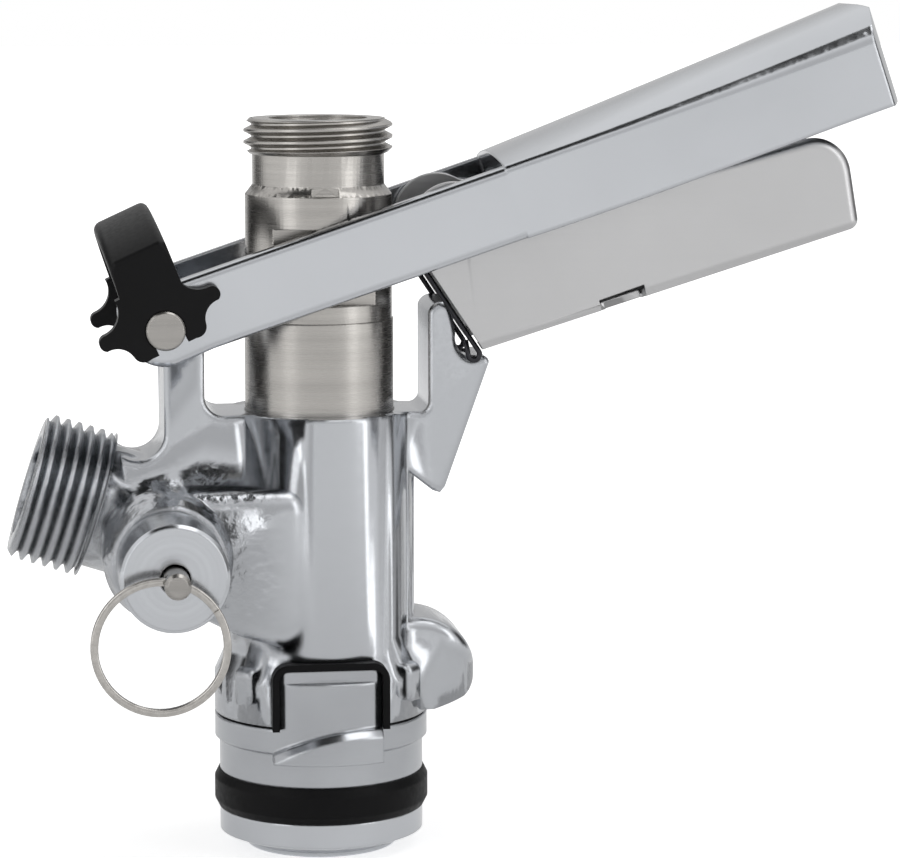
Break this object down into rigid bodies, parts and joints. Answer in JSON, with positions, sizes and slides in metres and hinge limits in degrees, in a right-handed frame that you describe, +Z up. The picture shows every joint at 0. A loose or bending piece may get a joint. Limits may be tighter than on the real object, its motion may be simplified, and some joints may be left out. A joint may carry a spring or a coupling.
{
  "type": "keg coupler",
  "caption": "Keg coupler: cast body with bayonet base, sliding steel probe, trigger-locked lever, tilted gas inlet, pull-ring relief valve and threaded outlet.",
  "frame": {"origin": "centre of the bottom face, on the probe's axis", "axes": "+Z up along the probe towards the outlet; +X towards the lever's grip; the relief valve points to -Y"},
  "size_m": [0.1384, 0.0621, 0.1305],
  "materials": {
    "chromed_brass": "polished",
    "turned_stainless": "turned",
    "sheet_stainless": "satin",
    "ring_steel": "polished",
    "spring_wire": "satin",
    "black_plastic": "matte",
    "white_plastic": "satin",
    "black_rubber": "matte"
  },
  "bodies": {
    "body": {"body_casting": "chromed_brass", "bayonet_ring": "chromed_brass", "ring_gasket": "black_rubber", "main_seal": "black_rubber", "seal_retainer": "chromed_brass", "guide_o_rings": "black_rubber", "gas_duckbill": "black_rubber", "relief_cap": "chromed_brass", "relief_spring": "spring_wire", "pivot_pin": "turned_stainless"},
    "probe": {"probe_head": "turned_stainless", "probe_piston": "turned_stainless", "probe_seal": "black_rubber", "ball_retainer": "turned_stainless"},
    "ball": {"beer_ball": "white_plastic"},
    "handle": {"handle_lever": "chromed_brass", "drive_bushes": "white_plastic", "trigger_pins": "turned_stainless"},
    "trigger": {"trigger": "sheet_stainless", "trigger_spring": "spring_wire"},
    "bail": {"safety_bail": "black_plastic"},
    "relief_stem": {"relief_stem": "turned_stainless", "relief_seal": "black_rubber"},
    "pull_ring": {"split_ring": "ring_steel"}
  },
  "joints": [
    {"name": "handle_swing", "type": "hinge", "parent": "body", "child": "handle", "pos_m": [-0.0247, 0, 0.0828], "axis": [0, 1, 0], "range_deg": [0, 28]},
    {"name": "probe_slide", "type": "slide", "parent": "body", "child": "probe", "axis": [0, 0, -1], "range_m": [0, 0.0126]},
    {"name": "ball_lift", "type": "slide", "parent": "probe", "child": "ball", "axis": [0, 0, 1], "range_m": [0, 0.0025]},
    {"name": "trigger_squeeze", "type": "hinge", "parent": "handle", "child": "trigger", "pos_m": [0.01969, 0, 0.09732], "axis": [0, -1, 0], "range_deg": [0, 10], "stiffness_Nm_per_rad": 0.4, "springref_deg": -8.59, "deforming": ["trigger_spring"]},
    {"name": "bail_swing", "type": "hinge", "parent": "body", "child": "bail", "pos_m": [-0.0247, 0, 0.0828], "axis": [0, 1, 0], "range_deg": [-80, 32]},
    {"name": "relief_pull", "type": "slide", "parent": "body", "child": "relief_stem", "axis": [0, -1, 0], "range_m": [0, 0.0025], "stiffness_N_per_m": 1500, "springref_m": -0.003, "deforming": ["relief_spring"]},
    {"name": "ring_swing", "type": "hinge", "parent": "relief_stem", "child": "pull_ring", "pos_m": [-0.02485, -0.0405, 0.0488], "axis": [0.9681, 0, -0.2504], "range_deg": [-150, 12]}
  ],
  "couplings": [
    {"joint": "probe_slide", "follows": "handle_swing", "m_per_rad": 0.025718}
  ]
}
